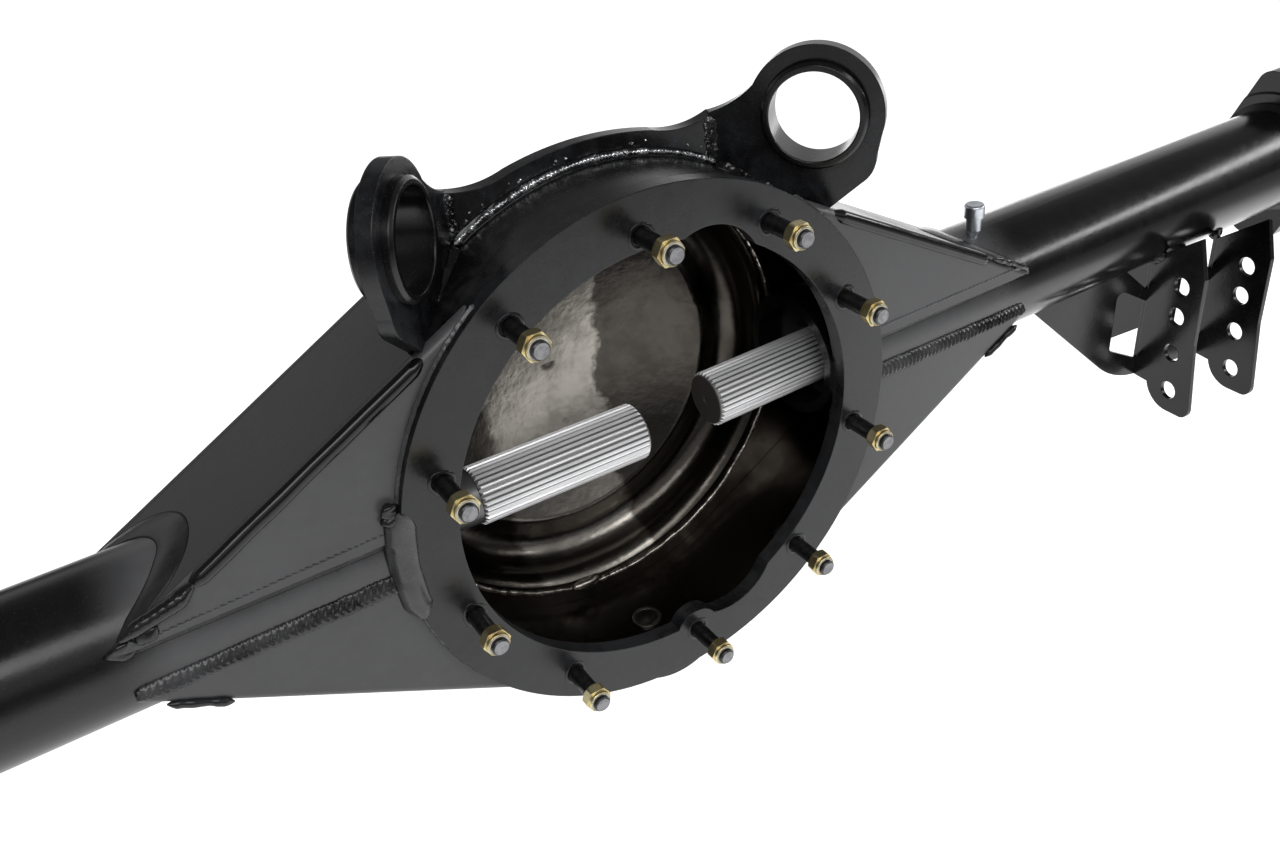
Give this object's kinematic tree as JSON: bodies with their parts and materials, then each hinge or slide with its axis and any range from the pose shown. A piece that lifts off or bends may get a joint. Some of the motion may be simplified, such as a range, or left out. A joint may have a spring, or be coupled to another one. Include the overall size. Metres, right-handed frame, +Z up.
{
  "type": "rear axle housing",
  "caption": "Fabricated steel rear axle housing with round carrier opening, domed back cover, splined axle shafts, angled upper arm ears and lower arm brackets.",
  "frame": {"origin": "centre of the round carrier opening, in the plane of the carrier flange's front face", "axes": "+X along the axle tubes towards the right-hand end in front view, +Y from the carrier flange into the housing, +Z up"},
  "size_m": [1.4568, 0.1821, 0.3576],
  "materials": {
    "black_paint": "gloss",
    "shaft_steel": "machined",
    "stud_steel": "satin",
    "bare_steel": "satin",
    "bearing_steel": "polished",
    "zinc_yellow": "satin",
    "zinc_clear": "satin",
    "nut_insert": "satin",
    "seal_rubber": "matte"
  },
  "bodies": {
    "housing": {"back_cover": "black_paint", "back_plate": "black_paint", "bottom_plate": "black_paint", "breather_body": "zinc_clear", "breather_cap": "zinc_clear", "bridge_plate": "black_paint", "carrier_nut_inserts": "nut_insert", "carrier_nuts": "zinc_yellow", "carrier_studs": "stud_steel", "drain_bung": "bare_steel", "drain_pad": "black_paint", "drain_plug": "stud_steel", "face_flange": "black_paint", "left_bearing_outer_race": "bearing_steel", "left_bearing_retainer": "zinc_clear", "left_bracket_inner_plate": "black_paint", "left_bracket_outer_plate": "black_paint", "left_bracket_web": "black_paint", "left_ear": "black_paint", "left_ear_sleeve": "black_paint", "left_housing_end": "black_paint", "left_lower_front_plate": "black_paint", "left_oil_seal": "seal_rubber", "left_retainer_nuts": "zinc_yellow", "left_retainer_studs": "stud_steel", "left_tube": "black_paint", "left_upper_front_plate": "black_paint", "right_bearing_outer_race": "bearing_steel", "right_bearing_retainer": "zinc_clear", "right_bracket_inner_plate": "black_paint", "right_bracket_outer_plate": "black_paint", "right_bracket_web": "black_paint", "right_ear": "black_paint", "right_ear_sleeve": "black_paint", "right_housing_end": "black_paint", "right_lower_front_plate": "black_paint", "right_oil_seal": "seal_rubber", "right_rear_gusset": "black_paint", "right_retainer_nuts": "zinc_yellow", "right_retainer_studs": "stud_steel", "right_tube": "black_paint", "right_upper_front_plate": "black_paint", "top_plate": "black_paint"},
    "left_axle": {"left_axle_shaft": "shaft_steel", "left_bearing_inner_race": "bearing_steel", "left_bearing_lock_ring": "bearing_steel", "left_wheel_studs": "stud_steel"},
    "right_axle": {"right_axle_shaft": "shaft_steel", "right_bearing_inner_race": "bearing_steel", "right_bearing_lock_ring": "bearing_steel", "right_wheel_studs": "stud_steel"}
  },
  "joints": [
    {"name": "right_axle_spin", "type": "hinge", "parent": "housing", "child": "right_axle", "pos_m": [0.5957, 0.0464, 0], "axis": [0.9999, 0, 0.0136], "continuous": true},
    {"name": "left_axle_spin", "type": "hinge", "parent": "housing", "child": "left_axle", "pos_m": [-0.5957, 0.0464, 0], "axis": [0.9999, 0, -0.0136], "continuous": true}
  ]
}
